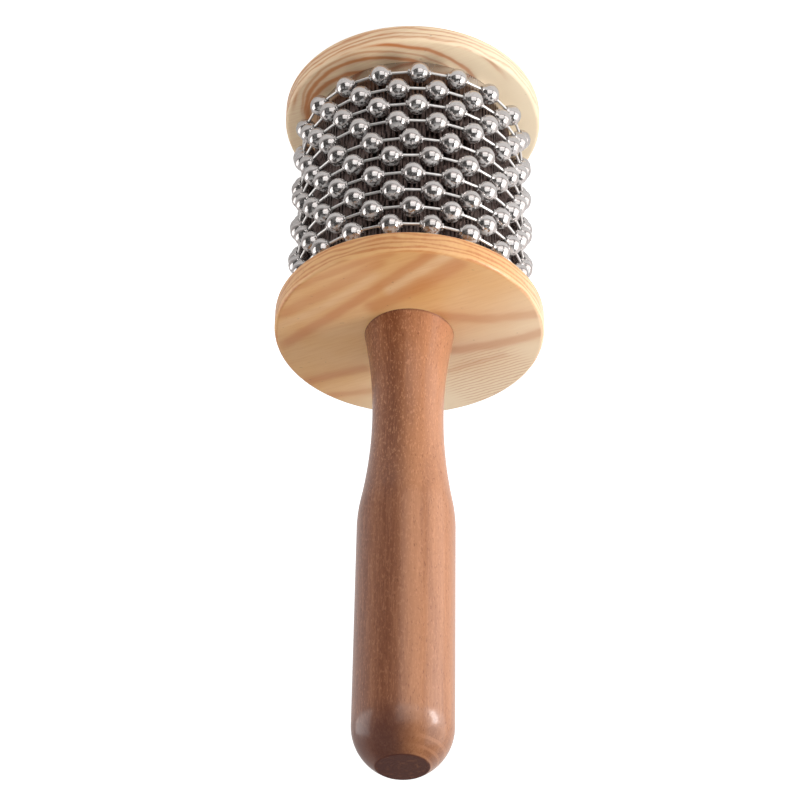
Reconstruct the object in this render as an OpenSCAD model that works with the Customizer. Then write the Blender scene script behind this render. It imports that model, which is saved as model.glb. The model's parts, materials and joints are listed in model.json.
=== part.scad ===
/* [Discs] */
// Diameter of both wooden end discs
disc_d = 75; // [73:0.5:90]
// Thickness of the disc on the handle side
front_disc_t = 6.6; // [5:0.1:10]
// Thickness of the disc at the far end
rear_disc_t = 6; // [5.2:0.1:10]
// Rounding of the disc edges
disc_edge_r = 1.2; // [0.4:0.1:2]
// Rounding of the front disc's edge on the drum side
back_edge_r = 0.6; // [0.3:0.1:2]
// Depth of the turned seat that takes the end of the drum
seat_depth = 1.5; // [0.5:0.1:1.8]

/* [Drum] */
// Length of drum that shows between the discs
drum_len = 70.5; // [66:0.5:90]
// Diameter over the ribs of the metal sleeve
drum_d = 57.1; // [54:0.1:58]
// Thickness of the sleeve's sheet
sleeve_t = 0.4; // [0.3:0.05:0.8]
// Height of the pressed ribs
rib_h = 0.25; // [0.1:0.05:0.4]
// Number of pressed ribs round the sleeve
rib_count = 144; // [72:4:180]
// Plain margin at each end of the sleeve, beyond the disc
sleeve_margin = 3.9; // [3:0.1:4.2]
// Gap where the two edges of the sheet meet
seam_gap = 0.8; // [0.2:0.1:1.5]
// Gap left for glue round the drum and the tenon
glue_gap = 0.05; // [0.02:0.01:0.1]

/* [Ball chain] */
// Number of chain loops round the drum
rows = 10; // [6:1:10]
// Number of balls in one loop
balls_per_loop = 18; // [14:1:20]
// Diameter of a ball
ball_d = 6; // [5:0.1:6.4]
// Thickness of a ball's shell
ball_wall = 0.4; // [0.3:0.05:0.6]
// Diameter of the link wire
link_d = 0.8; // [0.6:0.05:0.95]
// Diameter of the upset head at each end of a link
link_head_d = 1.6; // [1.5:0.1:1.9]
// Radial play of the link wire in a ball's hole
hole_clear = 0.2; // [0.15:0.05:0.25]
// Width of the rolled collar round a ball's hole
collar_wall = 0.45; // [0.35:0.05:0.6]
// Bead radius of the rolled collar
collar_r = 0.35; // [0.3:0.01:0.4]
// Height of the collar's bead above the ball
collar_lift = 0.1; // [0:0.05:0.2]
// Play between a link's head and the inside of the ball
head_clear = 0.15; // [0.1:0.05:0.3]
// Width of the pinched slot in the ball that closes a loop
closing_slot = 0.3; // [0.1:0.05:0.5]
// Running gap between neighbouring loops
row_gap = 0.1; // [0.05:0.05:0.3]
// Running gap between the balls and the sleeve
chain_gap = 0.25; // [0.2:0.05:0.5]

/* [Handle] */
// Length of handle beyond the disc
handle_len = 134.1; // [120:0.1:150]
// Diameter of the neck at its thinnest
neck_d = 19.4; // [18:0.1:22]
// Distance of the thinnest point from the disc
neck_at = 28; // [20:0.5:32]
// Radius of the hollow between the neck and the disc
flare_r = 145; // [100:1:200]
// Radius of the hollow between the neck and the grip
swell_r = 150; // [100:1:200]
// Radius of the brow where the grip begins
brow_r = 45; // [20:1:60]
// Diameter of the straight grip
grip_d = 26.1; // [24:0.1:28]
// Radius of the rounded butt
butt_r = 13.5; // [6.8:0.1:16]
// Diameter of the flat on the butt
butt_flat_d = 13.2; // [11:0.1:18]
// Diameter of the tenon that goes through the disc
tenon_d = 16; // [12:0.5:17]
// Depth of the tenon in the drum core
tenon_depth = 20; // [12:0.5:30]
// Bevel on the tenon's end
tenon_bevel = 0.8; // [0.3:0.1:1.5]

/* [Fastening] */
// Shank diameter of the long screw
screw_d = 5; // [4:0.1:6]
// Overall length of the long screw
screw_len = 100; // [80:1:120]
// Diameter of the countersunk head
screw_head_d = 10; // [9:0.1:10.4]
// Width of the slot in the head
screw_slot = 1.2; // [0.8:0.1:1.6]
// Depth of the slot in the head
screw_slot_depth = 1.3; // [0.8:0.1:1.5]
// Depth of the screw head below the rear face
head_sink = 0.8; // [0.5:0.1:1.2]
// Radial play of the screw in the disc and the core
screw_clear = 0.2; // [0.1:0.05:0.4]
// Outer diameter of the cup washer
cup_d = 15; // [14:0.1:18]
// Thickness of the cup washer's rim
cup_rim_t = 0.6; // [0.4:0.1:1]
// Wall of the cup washer at its lip
cup_lip = 0.7; // [0.4:0.1:1]
// Depth of the recess that holds the cup washer
cup_recess = 3.2; // [2.6:0.1:3.4]
// Radial play of the cup washer in its recess
cup_clear = 0.3; // [0.1:0.05:0.5]
// Shank diameter of a sleeve nail
nail_d = 1; // [0.8:0.05:1.4]
// Length of a sleeve nail under its head
nail_len = 9; // [6:0.5:14]
// Diameter of a nail head
nail_head_d = 2.2; // [1.8:0.1:2.4]
// Thickness of a nail head
nail_head_t = 0.3; // [0.2:0.05:0.5]
// Distance of the nails from the disc
nail_inset = 2; // [1.6:0.1:2.4]
// Distance of the nails from the seam
nail_to_seam = 1.8; // [1.4:0.1:4]

/* [Hidden] */
// How far a cut runs past the face that it opens
overrun = 1;

// Extra space from loop to loop, in shares of a ball's diameter
row_slack_shares = [0, 0, 0, 0.11, 0, 0.05, 0, 0, 0];
// Turn of each loop from the front, in shares of the ball spacing
row_turn_shares = [-0.15, 0.39, -0.11, 0.38, 0.03, 0.53, -0.03, 0.47, -0.01, 0.5];
// Number of flat steps in the rounded edge of a disc
edge_steps = 6;
// Number of steps in each bend of the handle's outline
bend_steps = 10;

// Heights along the axis, from the rear face up to the butt
rear_in = rear_disc_t;
front_in = rear_in + drum_len;
shoulder = front_in + front_disc_t;
butt = shoulder + handle_len;
core_low = rear_in - seat_depth;
core_high = front_in + seat_depth;
tenon_end = core_high - tenon_depth;

// Drum and its seats
sleeve_r = drum_d / 2 - rib_h;
sleeve_in_r = sleeve_r - sleeve_t;
rib_root_r = sleeve_r - sleeve_t / 2;
core_r = sleeve_in_r - glue_gap;
seat_r = sleeve_r + glue_gap;
seam_angle = 90;
nail_angle = (seam_gap / 2 + nail_to_seam) / sleeve_r * 180 / PI;

// Chain: balls on a circle, links on the lines between their holes
ball_r = ball_d / 2;
ball_in_r = ball_r - ball_wall;
ball_step = 360 / balls_per_loop;
chain_r = drum_d / 2 + chain_gap + ball_r;
hole_r = link_d / 2 + hole_clear;
collar_x = hole_r + collar_wall - collar_r;
collar_y = sqrt(pow(ball_r, 2) - pow(collar_x, 2)) + collar_lift;
link_r = chain_r * cos(ball_step / 2) + ball_r * sin(ball_step / 2);
link_half = chain_r * sin(ball_step / 2) - ball_r * cos(ball_step / 2);
link_head_at = link_half + ball_wall + head_clear + link_head_d / 2;
closing_ball_at = floor(balls_per_loop / 2);

// Rows, centred on the drum
function slack_to(i) = i < 1 ? 0 : slack_to(i - 1) + row_slack_shares[i - 1] * ball_d;
function row_rise(i) = i * (ball_d + row_gap) + slack_to(i);
function row_z(i) = (rear_in + front_in - row_rise(rows - 1)) / 2 + row_rise(i);
function row_turn(i) = row_turn_shares[i] * ball_step - 90;

// Handle outline
neck_r = neck_d / 2;
grip_r = grip_d / 2;
butt_flat_r = butt_flat_d / 2;
tenon_r = tenon_d / 2;
flare_sweep = asin(neck_at / flare_r);
swell_sweep = acos(1 - (grip_r - neck_r) / (swell_r + brow_r));
grip_from = neck_at + (swell_r + brow_r) * sin(swell_sweep);
butt_sweep = acos(1 - (grip_r - butt_flat_r) / butt_r);
butt_from = handle_len - butt_r * sin(butt_sweep);

// Screw and washer
screw_r = screw_d / 2;
screw_hole_r = screw_r + screw_clear;
screw_head_h = (screw_head_d - screw_d) / 2;
screw_tip = head_sink + screw_len;
pilot_r = screw_r + glue_gap;
cup_cone = head_sink + screw_head_d / 2 + glue_gap;
cup_lip_r = cup_cone - head_sink + cup_lip;

function loop_name(i, piece) = str("loop_", i < 10 ? "0" : "", i, "_", piece);
loop_nodes = [for (i = [1 : rows]) for (p = ["balls", "links", "closing_ball"]) loop_name(i, p)];
base_nodes = [
    "handle", "front_disc", "rear_disc", "drum_core",
    "drum_sleeve", "sleeve_nails", "handle_screw", "screw_cup"
];

// Points along an arc, from one angle to another
function arc(centre, r, from, to, steps) = [
    for (s = [0 : steps])
        let (a = from + (to - from) * s / steps)
            centre + r * [cos(a), sin(a)]
];

// Half of a disc's section: radius across, thickness up
function disc_section(t, low_r) = concat(
    [[0, 0]],
    arc([disc_d / 2 - low_r, low_r], low_r, -90, 0, edge_steps),
    arc([disc_d / 2 - disc_edge_r, t - disc_edge_r], disc_edge_r, 0, 90, edge_steps),
    [[0, t]]
);

module disc_blank(t, low_r) {
    rotate_extrude($fn = 180) polygon(disc_section(t, low_r));
}

module bore(r, from, to) {
    translate([0, 0, from]) cylinder(r = r, h = to - from, $fn = 216);
}

// Turned hardwood handle with its tenon and the pilot hole for the screw
module handle() {
    outline = concat(
        [[0, tenon_end], [tenon_r - tenon_bevel, tenon_end], [tenon_r, tenon_end + tenon_bevel]],
        [[tenon_r, shoulder]],
        arc([neck_r + flare_r, shoulder + neck_at], flare_r, 180 + flare_sweep, 180, bend_steps),
        [for (p = arc([neck_r + swell_r, shoulder + neck_at], swell_r, 180, 180 - swell_sweep,
                      bend_steps)) if (p[1] > shoulder + neck_at) p],
        [for (p = arc([grip_r - brow_r, shoulder + grip_from], brow_r, -swell_sweep, 0,
                      bend_steps)) if (p[1] > shoulder + grip_from - brow_r * sin(swell_sweep)) p],
        arc([grip_r - butt_r, shoulder + butt_from], butt_r, 0, butt_sweep, bend_steps),
        [[0, butt]]
    );
    color("peru") difference() {
        rotate_extrude($fn = 120) polygon(outline);
        bore(pilot_r, tenon_end - overrun, screw_tip + overrun);
    }
}

// Pine disc under the handle, bored for the tenon
module front_disc() {
    color("burlywood") difference() {
        translate([0, 0, front_in]) disc_blank(front_disc_t, back_edge_r);
        bore(seat_r, front_in - overrun, core_high);
        bore(tenon_r + glue_gap, front_in, shoulder + overrun);
    }
}

// Pine disc at the far end, recessed for the cup washer
module rear_disc() {
    color("burlywood") difference() {
        disc_blank(rear_disc_t, disc_edge_r);
        bore(seat_r, core_low, rear_in + overrun);
        bore(screw_hole_r, -overrun, rear_in);
        bore(cup_d / 2 + cup_clear, -overrun, cup_recess);
    }
}

// Turned wooden core, bored for the tenon and the screw
module drum_core() {
    color("tan") difference() {
        bore(core_r, core_low, core_high);
        bore(screw_hole_r, core_low - overrun, core_high);
        bore(tenon_r + glue_gap, tenon_end - overrun, core_high + overrun);
        nail_places() nail_shank(nail_d / 2 + glue_gap);
    }
}

// Metal sheet with pressed ribs, rolled round the core
module drum_sleeve() {
    ribbed = [
        for (k = [0 : 2 * rib_count - 1])
            let (r = k % 2 == 0 ? drum_d / 2 : rib_root_r, a = k * 180 / rib_count)
                r * [cos(a), sin(a)]
    ];
    color("slategray") difference() {
        union() {
            bore(sleeve_r, core_low + glue_gap, core_high - glue_gap);
            translate([0, 0, rear_in + sleeve_margin])
                linear_extrude(drum_len - 2 * sleeve_margin) polygon(ribbed);
        }
        bore(sleeve_in_r, 0, shoulder);
        rotate([0, 0, seam_angle]) translate([0, -seam_gap / 2, 0])
            cube([drum_d, seam_gap, shoulder]);
        nail_places() nail_shank(nail_d / 2 + glue_gap);
    }
}

// The four places of the nails: both edges of the seam, at both ends
module nail_places() {
    for (side = [-1, 1], z = [rear_in + nail_inset, front_in - nail_inset])
        rotate([0, 0, seam_angle + side * nail_angle]) translate([sleeve_r, 0, z])
            rotate([0, 90, 0]) children();
}

module nail_shank(r) {
    translate([0, 0, -nail_len]) cylinder(r = r, h = nail_len, $fn = 24);
}

// Flat-headed nails that hold the sheet to the core
module sleeve_nails() {
    color("silver") nail_places() union() {
        nail_shank(nail_d / 2);
        cylinder(d = nail_head_d, h = nail_head_t, $fn = 36);
    }
}

// Long countersunk screw through the drum into the handle
module handle_screw() {
    outline = [
        [0, head_sink], [screw_head_d / 2, head_sink], [screw_r, head_sink + screw_head_h],
        [screw_r, screw_tip - screw_d], [0, screw_tip]
    ];
    color("silver") difference() {
        rotate_extrude($fn = 72) polygon(outline);
        translate([-screw_head_d / 2, -screw_slot / 2, head_sink - overrun])
            cube([screw_head_d, screw_slot, overrun + screw_slot_depth]);
    }
}

// Pressed cup washer that spreads the pull of the screw head
module screw_cup() {
    outline = [
        [cup_cone - cup_recess, cup_recess], [cup_cone - head_sink, head_sink],
        [cup_lip_r, head_sink], [cup_lip_r + cup_lip, cup_recess - cup_rim_t],
        [cup_d / 2, cup_recess - cup_rim_t], [cup_d / 2, cup_recess]
    ];
    color("gainsboro") rotate_extrude($fn = 72) polygon(outline);
}

// Section of a hollow ball with a rolled collar round each hole
module ball_section() {
    difference() {
        union() {
            circle(r = ball_r, $fn = 24);
            for (side = [-1, 1])
                translate([collar_x, side * collar_y]) circle(r = collar_r, $fn = 16);
        }
        circle(r = ball_in_r, $fn = 24);
        translate([-ball_d, -ball_d]) square([ball_d + hole_r, 2 * ball_d]);
    }
}

// Ball with its holes along Z
module chain_ball() {
    rotate_extrude($fn = 24) ball_section();
}

// Wire link with an upset head inside each ball, along Z
module chain_link() {
    rotate_extrude($fn = 16) difference() {
        union() {
            square([link_d, 2 * link_head_at], center = true);
            for (side = [-1, 1])
                translate([0, side * link_head_at]) circle(d = link_head_d, $fn = 16);
        }
        translate([-link_head_d, -link_head_at - link_head_d])
            square([link_head_d, 2 * (link_head_at + link_head_d)]);
    }
}

// A place on row i's loop, k ball spacings round it, with Z along the chain
module on_loop(i, k, r) {
    translate([0, 0, row_z(i)]) rotate([0, 0, row_turn(i) + k * ball_step])
        translate([r, 0, 0]) rotate([-90, 0, 0]) children();
}

module loop_balls(i) {
    color("silver") for (k = [0 : balls_per_loop - 1])
        if (k != closing_ball_at) on_loop(i, k, chain_r) chain_ball();
}

module loop_links(i) {
    color("gainsboro") for (k = [0 : balls_per_loop - 1])
        on_loop(i, k + 1 / 2, link_r) chain_link();
}

// Split ball that is pinched shut over the last link
module loop_closing_ball(i) {
    color("silver") on_loop(i, closing_ball_at, chain_r) difference() {
        chain_ball();
        translate([0, -closing_slot / 2, -ball_d]) cube([ball_d, closing_slot, 2 * ball_d]);
    }
}

handle();
front_disc();
rear_disc();
drum_core();
drum_sleeve();
sleeve_nails();
handle_screw();
screw_cup();
for (i = [1 : rows]) {
    loop_balls(i - 1);
    loop_links(i - 1);
    loop_closing_ball(i - 1);
}
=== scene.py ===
"""A cabasa: turned handle, two pine discs, ribbed steel drum and ten loops of ball chain."""

import json
import math
from collections import namedtuple

import bpy
import numpy as np
from bpy.props import FloatProperty, FloatVectorProperty, IntProperty, PointerProperty
from mathutils import Matrix, Quaternion, Vector

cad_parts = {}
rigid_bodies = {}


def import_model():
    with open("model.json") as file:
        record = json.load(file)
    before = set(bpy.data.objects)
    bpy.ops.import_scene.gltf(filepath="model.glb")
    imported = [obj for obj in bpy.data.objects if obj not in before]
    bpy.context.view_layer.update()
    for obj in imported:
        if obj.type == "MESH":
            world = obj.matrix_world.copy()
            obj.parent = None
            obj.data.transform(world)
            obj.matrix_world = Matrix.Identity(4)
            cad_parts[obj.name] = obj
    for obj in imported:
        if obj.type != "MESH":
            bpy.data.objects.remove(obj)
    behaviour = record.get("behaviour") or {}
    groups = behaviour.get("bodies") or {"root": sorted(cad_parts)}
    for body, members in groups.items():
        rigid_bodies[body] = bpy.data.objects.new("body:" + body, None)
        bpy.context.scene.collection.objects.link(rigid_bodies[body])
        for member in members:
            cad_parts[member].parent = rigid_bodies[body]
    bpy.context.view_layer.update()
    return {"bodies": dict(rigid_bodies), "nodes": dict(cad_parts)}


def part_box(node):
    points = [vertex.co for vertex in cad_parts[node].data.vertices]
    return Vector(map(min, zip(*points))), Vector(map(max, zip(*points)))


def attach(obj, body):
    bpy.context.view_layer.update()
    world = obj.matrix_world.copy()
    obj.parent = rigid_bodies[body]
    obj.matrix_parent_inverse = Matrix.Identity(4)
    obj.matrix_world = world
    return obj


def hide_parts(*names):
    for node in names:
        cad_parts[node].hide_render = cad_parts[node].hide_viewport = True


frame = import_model()

bl_info = {
    "name": "Cabasa",
    "version": (1, 0, 0),
    "blender": (4, 5, 0),
    "location": "3D View > Sidebar > Cabasa",
    "description": "Turns, strings and finishes a cabasa round its packed frame",
    "category": "Add Mesh",
}

MM = 0.001
# Heights closer than this are one corner of a turned section
SAME_LEVEL = 0.01 * MM
# Points closer to the axis than this are on it
ON_AXIS = 0.001 * MM
# Corners of a disc within this share of its radius belong to its hole
HOLE_SHARE = 0.9
# Edges bent by more than this stay sharp
SMOOTH_BELOW = math.radians(40)
DRUM_BODY = "drum_body"
# Seeds of neighbouring loops are this far apart
SEED_STEP = 10
LOOP_BODIES = sorted(name for name in frame["bodies"] if name.startswith("chain_loop_"))


def rgb(red, green, blue):
    """A linear colour from the 0 to 255 values of a paint card."""
    return tuple((c / 255 / 12.92 if c <= 10 else ((c / 255 + 0.055) / 1.055) ** 2.4)
                 for c in (red, green, blue))


def colour_property(name, description, red, green, blue):
    """A colour setting."""
    return FloatVectorProperty(name=name, description=description, subtype="COLOR", size=3,
                               default=rgb(red, green, blue), min=0, max=1)


def length_property(name, description, millimetres):
    """A length setting, with its default in millimetres."""
    return FloatProperty(name=name, description=description, default=millimetres * MM,
                         min=0, unit="LENGTH", subtype="DISTANCE")


def angle_property(name, description, degrees, **limits):
    """An angle setting, with its default in degrees."""
    return FloatProperty(name=name, description=description, default=math.radians(degrees),
                         subtype="ANGLE", **limits)


def glow_property(name, description, glow):
    """How bright something is, where 1 is white."""
    return FloatProperty(name=name, description=description, default=glow, min=0)


class TurningSettings(bpy.types.PropertyGroup):
    """How fine the turned wooden pieces are made."""

    segments: IntProperty(name="Segments", description="Steps round a turned piece",
                          default=160, min=24, max=512)
    bend_steps: IntProperty(name="Bend steps", description="Steps in each short bend",
                            default=4, min=1, max=12)
    edge_steps: IntProperty(name="Edge steps", description="Steps in a disc's rounded edge",
                            default=12, min=2, max=32)
    ring_pitch: length_property("Tool ring pitch", "Spacing of the tool's rings on the butt", 0.9)
    ring_depth: length_property("Tool ring depth", "Depth of the tool's rings on the butt", 0.03)


class ChainSettings(bpy.types.PropertyGroup):
    """Sizes of the ball chain that the frame's boxes don't give."""

    balls: IntProperty(name="Balls", description="Balls in one loop", default=18, min=6)
    segments: IntProperty(name="Segments", description="Steps round a ball", default=20, min=8)
    wall: length_property("Wall", "Thickness of a ball's shell", 0.4)
    wire: length_property("Wire", "Diameter of the link wire", 0.8)
    head: length_property("Head", "Diameter of a link's upset head", 1.6)
    play: length_property("Play", "Radial play of the wire in its hole", 0.2)
    head_play: length_property("Head play", "Play of a link's head inside the ball", 0.15)
    collar: length_property("Collar", "Width of the rolled collar", 0.45)
    bead: length_property("Bead", "Radius of the rolled collar's bead", 0.35)
    lift: length_property("Lift", "Height of the bead above the ball", 0.1)
    slot: length_property("Slot", "Width of the pinched slot in the closing ball", 0.3)
    tilt: angle_property("Tilt", "Most that a ball leans on its links", 3, min=0, max=0.2)
    seed: IntProperty(name="Seed", description="Seed of the balls' lean and tone", default=7)


class ColourSettings(bpy.types.PropertyGroup):
    """Colours of the finishes."""

    pine: colour_property("Pine", "Plain wood between the growth rings", 226, 173, 111)
    rear_pine: colour_property("Rear pine", "Plain wood of the rear disc", 239, 212, 175)
    pine_ring: colour_property("Pine ring", "Late wood of the growth rings", 196, 116, 58)
    pine_pale: colour_property("Pale pine", "Sapwood of the discs", 254, 234, 202)
    hardwood: colour_property("Hardwood", "Plain wood of the handle", 170, 110, 68)
    hardwood_dark: colour_property("Dark hardwood", "Dark bands of the handle", 106, 50, 22)
    hardwood_light: colour_property("Light hardwood", "Light flecks of the handle", 214, 150, 108)
    end_grain_and_shade: colour_property("End grain", "End grain at the butt", 80, 38, 30)
    core: colour_property("Core", "Wood of the drum's core", 168, 134, 96)
    plating: colour_property("Plating", "Nickel plating of the balls", 205, 200, 198)
    dust_and_sheen: colour_property("Dust", "Dust on the balls", 231, 227, 225)
    wire: colour_property("Wire", "Drawn wire of the links", 243, 241, 238)
    steel: colour_property("Steel", "Rolled sheet of the drum", 98, 84, 80)
    fastener: colour_property("Fastener", "Zinc plating of screw, cup and nails", 190, 190, 186)


class StudioSettings(bpy.types.PropertyGroup):
    """Camera, lamps and backdrop."""

    aim: FloatVectorProperty(name="Aim", description="Point that the camera looks at",
                             default=(2.24 * MM, 0, 105.1 * MM), size=3, subtype="TRANSLATION")
    distance: length_property("Distance", "From the camera to its aim", 699.26)
    azimuth: angle_property("Azimuth", "Turn of the view from +Y towards +X", 0.227)
    elevation: angle_property("Elevation", "Height of the camera over the aim", 35.898)
    roll: angle_property("Roll", "Turn of the picture about the line of sight", 178.942)
    lens: FloatProperty(name="Lens", description="Focal length in mm on a 36 mm sensor",
                        default=115.37, min=10)
    fill: glow_property("Fill", "Light from all round", 0.27)
    key: glow_property("Key", "Glow of the lamp on the right", 1.62)
    bulb: glow_property("Bulb", "Glow of the bulb in front of the right lamp", 15)
    side: glow_property("Side", "Glow of the lamp on the left", 2.0)
    front: glow_property("Front", "Glow of the low front lamp", 1.4)
    top: glow_property("Top", "Glow of the lamp overhead", 1.5)
    floor_glow: glow_property("Floor glow", "Glow of the floor to the camera", 0.8)
    floor_gleam: glow_property("Floor gleam", "Glow of the floor in reflections", 0.12)
    white_floor: length_property("White floor", "Radius of floor that reflections see white", 85)
    dark_floor: length_property("Dark floor", "Radius past which reflections see it dark", 140)
    tent: length_property("Tent", "Radius of the dark tent that reflections see", 1300)


class CabasaSettings(bpy.types.PropertyGroup):
    """All settings of the cabasa."""

    turning: PointerProperty(type=TurningSettings, name="Turning",
                             description="How fine the turned pieces are")
    chain: PointerProperty(type=ChainSettings, name="Chain", description="Sizes of the chain")
    colours: PointerProperty(type=ColourSettings, name="Colours", description="Finish colours")
    studio: PointerProperty(type=StudioSettings, name="Studio",
                            description="Camera, lamps and backdrop")


def settings():
    """The cabasa's settings in this scene."""
    return bpy.context.scene.cabasa


# Node graphs

def operator_pair(operation):
    """A Python operator and its reflected form, as math nodes."""
    def plain(self, other):
        return self.math(operation, self, other)

    def reflected(self, other):
        return self.math(operation, other, self)

    return plain, reflected


class Term:
    """A node's output that takes part in Python sums."""

    def __init__(self, graph, socket):
        self.graph = graph
        self.socket = socket

    def math(self, operation, *terms):
        """The result of a math node on these terms."""
        return self.graph.node("ShaderNodeMath", {"operation": operation}, dict(enumerate(terms)))

    __add__, __radd__ = operator_pair("ADD")
    __sub__, __rsub__ = operator_pair("SUBTRACT")
    __mul__, __rmul__ = operator_pair("MULTIPLY")
    __truediv__, __rtruediv__ = operator_pair("DIVIDE")

    def __neg__(self):
        return self.math("MULTIPLY", self, -1)

    def __abs__(self):
        return self.math("ABSOLUTE", self)

    def most(self, other):
        return self.math("MAXIMUM", self, other)

    def sine(self):
        return self.math("SINE", self)

    def cosine(self):
        return self.math("COSINE", self)

    def rise(self, low, high):
        """0 below low and 1 above high, with a smooth step between them."""
        return self.graph.node(
            "ShaderNodeMapRange", {"interpolation_type": "SMOOTHSTEP"},
            {"Value": self, "From Min": low, "From Max": high, "To Min": 0, "To Max": 1},
        )


def socket_of(sockets, key):
    """A socket by number, identifier or name."""
    if isinstance(key, int):
        return sockets[key]
    return next((s for s in sockets if s.identifier == key), None) or sockets[key]


class Graph:
    """A node tree that is written by calls."""

    def __init__(self, tree):
        self.tree = tree
        self.tree.nodes.clear()

    def add(self, kind, options=None, values=None):
        """A node with its options set first, then the values or links of its sockets."""
        made = self.tree.nodes.new(kind)
        for name, value in (options or {}).items():
            setattr(made, name, value)
        for key, value in (values or {}).items():
            socket = socket_of(made.inputs, key)
            if isinstance(value, Term):
                self.tree.links.new(value.socket, socket)
            else:
                socket.default_value = (*value, 1) if socket.type == "RGBA" else value
        return made

    def node(self, kind, options=None, values=None, output=0):
        """One output of a new node."""
        return Term(self, socket_of(self.add(kind, options, values).outputs, output))

    def vector(self, operation, first, second=None, output=0):
        """The result of a vector math node."""
        values = {0: first} if second is None else {0: first, 1: second}
        return self.node("ShaderNodeVectorMath", {"operation": operation}, values, output)

    def combine(self, x=0.0, y=0.0, z=0.0):
        """A vector of three parts."""
        return self.node("ShaderNodeCombineXYZ", None, {0: x, 1: y, 2: z})

    def split(self, vector):
        """The three parts of a vector."""
        parts = self.add("ShaderNodeSeparateXYZ", None, {0: vector}).outputs
        return [Term(self, part) for part in parts]

    def length(self, x, y):
        """The distance of a place from the Z axis."""
        return self.vector("LENGTH", self.combine(x, y), output="Value")

    def distance(self, place, point):
        """How far a place on the flat is from a point."""
        return self.vector("DISTANCE", place, (*point, 0), "Value")

    def ray_is(self, *kinds):
        """1 for a ray of one of these kinds."""
        found = None
        for kind in kinds:
            ray = self.node("ShaderNodeLightPath", output=f"Is {kind} Ray")
            found = ray if found is None else found.most(ray)
        return found


class Finish(Graph):
    """A material, and the graph that is written into it."""

    def __init__(self, name):
        self.material = bpy.data.materials.new(name)
        self.material.use_nodes = True
        super().__init__(self.material.node_tree)

    def millimetres(self):
        """Object coordinates in millimetres, as one vector and as three values."""
        place = self.node("ShaderNodeTexCoord", output="Object")
        vector = self.vector("MULTIPLY", place, (1 / MM, 1 / MM, 1 / MM))
        return vector, self.split(vector)

    def attribute(self, name):
        """A value that the piece's mesh holds."""
        return self.node("ShaderNodeAttribute", {"attribute_name": name}, output="Fac")

    def noise(self, vector, scale, stretch=(1, 1, 1), detail=2.0, roughness=0.5):
        """Noise from 0 to 1 whose features are 1 / scale long, drawn out along each axis."""
        drawn = self.vector("MULTIPLY", vector, tuple(scale / s for s in stretch))
        return self.node("ShaderNodeTexNoise", None,
                         {"Vector": drawn, "Scale": 1.0, "Detail": detail, "Roughness": roughness})

    def mix(self, factor, first, second):
        """The first colour at 0 and the second at 1."""
        return self.node(
            "ShaderNodeMix", {"data_type": "RGBA", "clamp_factor": True},
            {"Factor_Float": factor, "A_Color": first, "B_Color": second}, "Result_Color",
        )

    def layered(self, colour, *coats):
        """A colour under coats, each given by how much it covers and its own colour."""
        for cover, coat in coats:
            colour = self.mix(cover, colour, coat)
        return colour

    def bump(self, height, depth, strength):
        """The normal of a surface with this relief."""
        return self.node("ShaderNodeBump", None,
                         {"Height": height, "Distance": depth, "Strength": strength})

    def principled(self, **values):
        """The principled shader with these sockets, spaces written as underscores."""
        return self.node("ShaderNodeBsdfPrincipled", None,
                         {name.replace("_", " "): value for name, value in values.items()})

    def show(self, shader):
        """The material, with this shader on its surface."""
        self.add("ShaderNodeOutputMaterial", None, {"Surface": shader})
        return self.material

    def surface(self, **values):
        """The material, with a principled shader of these values."""
        return self.show(self.principled(**values))


def darker(colour, share):
    """A colour with this share of its red, green and blue."""
    return tuple(c * s for c, s in zip(colour, share))


# Wood finishes

# Growth rings of the front disc: three points of a line, its width, and how dark it is.
# Millimetres, seen from the handle: right is -X and up is -Y.
FRONT_RINGS = [
    ((-32, 19.7), (-18.9, 28.7), (-5, 36), 1.6, 0.5),
    ((-35, 9), (-21.7, 20), (-7.7, 33), 2.6, 0.5),
    ((-35, -5), (-14, 16), (6, 36.4), 2.2, 0.65),
    ((-9, 13.6), (2, 22), (13.5, 33.1), 3.4, 0.62),
    ((9, 9.2), (22, 8.4), (37, 11.6), 2.4, 0.65),
    ((10, -6.6), (24, -3.2), (37.5, 3.2), 2.4, 0.8),
    ((10, -16.8), (18.2, -12.4), (27, -7.6), 1.2, 0.45),
    ((-28, -22), (-20.4, -18.5), (-11, -14.6), 2.2, 0.6),
    ((-22, -28.8), (-15, -27.2), (-6, -24.6), 1.6, 0.6),
]
# Pale bands between them
FRONT_PALE = [
    ((-35.5, 4), (-22, 14), (-10, 26), 1.6, 0.25),
    ((-6, 20), (2, 28), (9, 34.5), 2.0, 0.4),
    ((8, -11), (22, -8), (36, -3), 2.0, 0.3),
]
# Growth rings of the rear disc, as its inner face shows them
REAR_RINGS = [
    ((-20, 39.5), (2, 41), (26, 28), 0.6, 0.8),
    ((-26, 36), (-5, 41.5), (20, 31), 0.5, 0.6),
    ((-33, 22), (-9.7, 39.3), (24, 26), 0.75, 0.95),
    ((-34, 14), (-11, 35.1), (18, 21), 0.8, 1.0),
    ((-32, 8), (-11.5, 32.6), (14, 20), 0.5, 0.6),
    ((-31, 6), (-12, 29.9), (12, 19), 0.8, 0.9),
    ((-30, 0), (-12, 24.5), (8, 12), 1.0, 0.9),
    ((-27, -12), (-11, 15), (6, 2), 1.6, 0.5),
]

# The pale side of a board, partly pale wood and partly painted light where the key lamp falls:
# towards where, from how far off its middle to how far, how much
SapwoodAndLight = namedtuple("SapwoodAndLight", "towards start end strength")
# A patch of narrow rings: its middle and reach, and the slope of the rings and their spacing
NarrowRings = namedtuple("NarrowRings", "middle reach slope spacing")
# How far the rings wander across and up the board and how far they ripple, in mm
WANDER_ACROSS, WANDER_UP, RIPPLE = 3.0, 2.2, 1.1
# The rim's lines fade in between these distances from a disc's edge, this far apart, in mm
RIM_START, RIM_END, RIM_LINES = 1.3, 0.3, 1.45
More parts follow.
